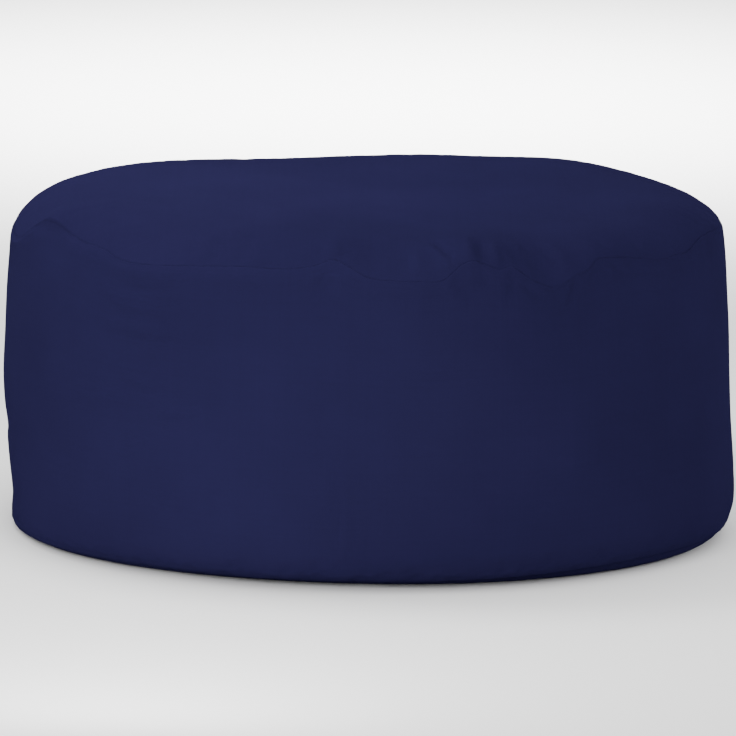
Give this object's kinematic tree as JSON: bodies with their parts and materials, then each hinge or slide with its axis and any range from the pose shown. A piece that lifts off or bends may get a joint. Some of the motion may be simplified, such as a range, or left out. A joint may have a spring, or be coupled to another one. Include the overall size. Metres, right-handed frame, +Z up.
{
  "type": "outdoor pouf",
  "caption": "Low round outdoor pouf: a stuffed canvas drum with a crowned top disc and a bulging side band, flat where it rests on the floor.",
  "frame": {"origin": "on the floor, under the middle of the pouf's outline", "axes": "+Z up, out of the crowned top; +X to the right and +Y to the back of the pouf as it stands in the picture"},
  "size_m": [0.6083, 0.6098, 0.2887],
  "materials": {
    "band_canvas": "matt navy outdoor canvas, tightly stuffed",
    "top_canvas": "matt navy outdoor canvas",
    "bottom_canvas": "matt navy outdoor canvas, pressed flat on the floor"
  },
  "bodies": {
    "root": {"filled_band": "band_canvas", "top_panel": "top_canvas", "bottom_panel": "bottom_canvas"}
  },
  "joints": []
}
